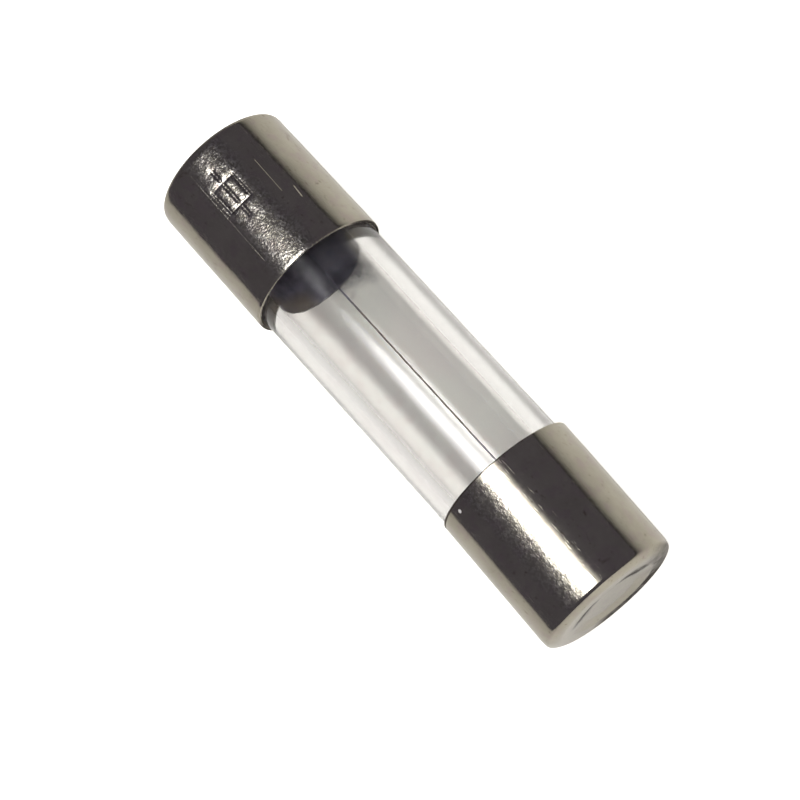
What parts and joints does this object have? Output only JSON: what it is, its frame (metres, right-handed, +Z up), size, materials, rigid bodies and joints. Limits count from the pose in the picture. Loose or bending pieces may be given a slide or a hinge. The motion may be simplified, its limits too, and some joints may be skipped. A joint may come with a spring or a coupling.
{
  "type": "cartridge fuse",
  "caption": "Glass cartridge fuse with a thin straight wire inside a clear tube and a nickel-plated cap on each end, one cap carrying a stamped box mark.",
  "frame": {"origin": "middle of the fuse, on its axis, half way between the two end faces", "axes": "+X along the fuse toward the plain cap, +Z up when the fuse lies on a table with its stamped mark on top"},
  "size_m": [0.02, 0.005, 0.0051],
  "materials": {
    "glass": "clear, smooth",
    "nickel_plate": "nickel plated, bright, lightly scuffed",
    "wire": "drawn wire, slightly dulled",
    "solder": "solidified solder, satin"
  },
  "bodies": {
    "root": {"glass_tube": "glass", "end_cap_marked": "nickel_plate", "end_cap_plain": "nickel_plate", "fuse_wire": "wire", "solder_marked": "solder", "solder_plain": "solder"}
  },
  "joints": []
}
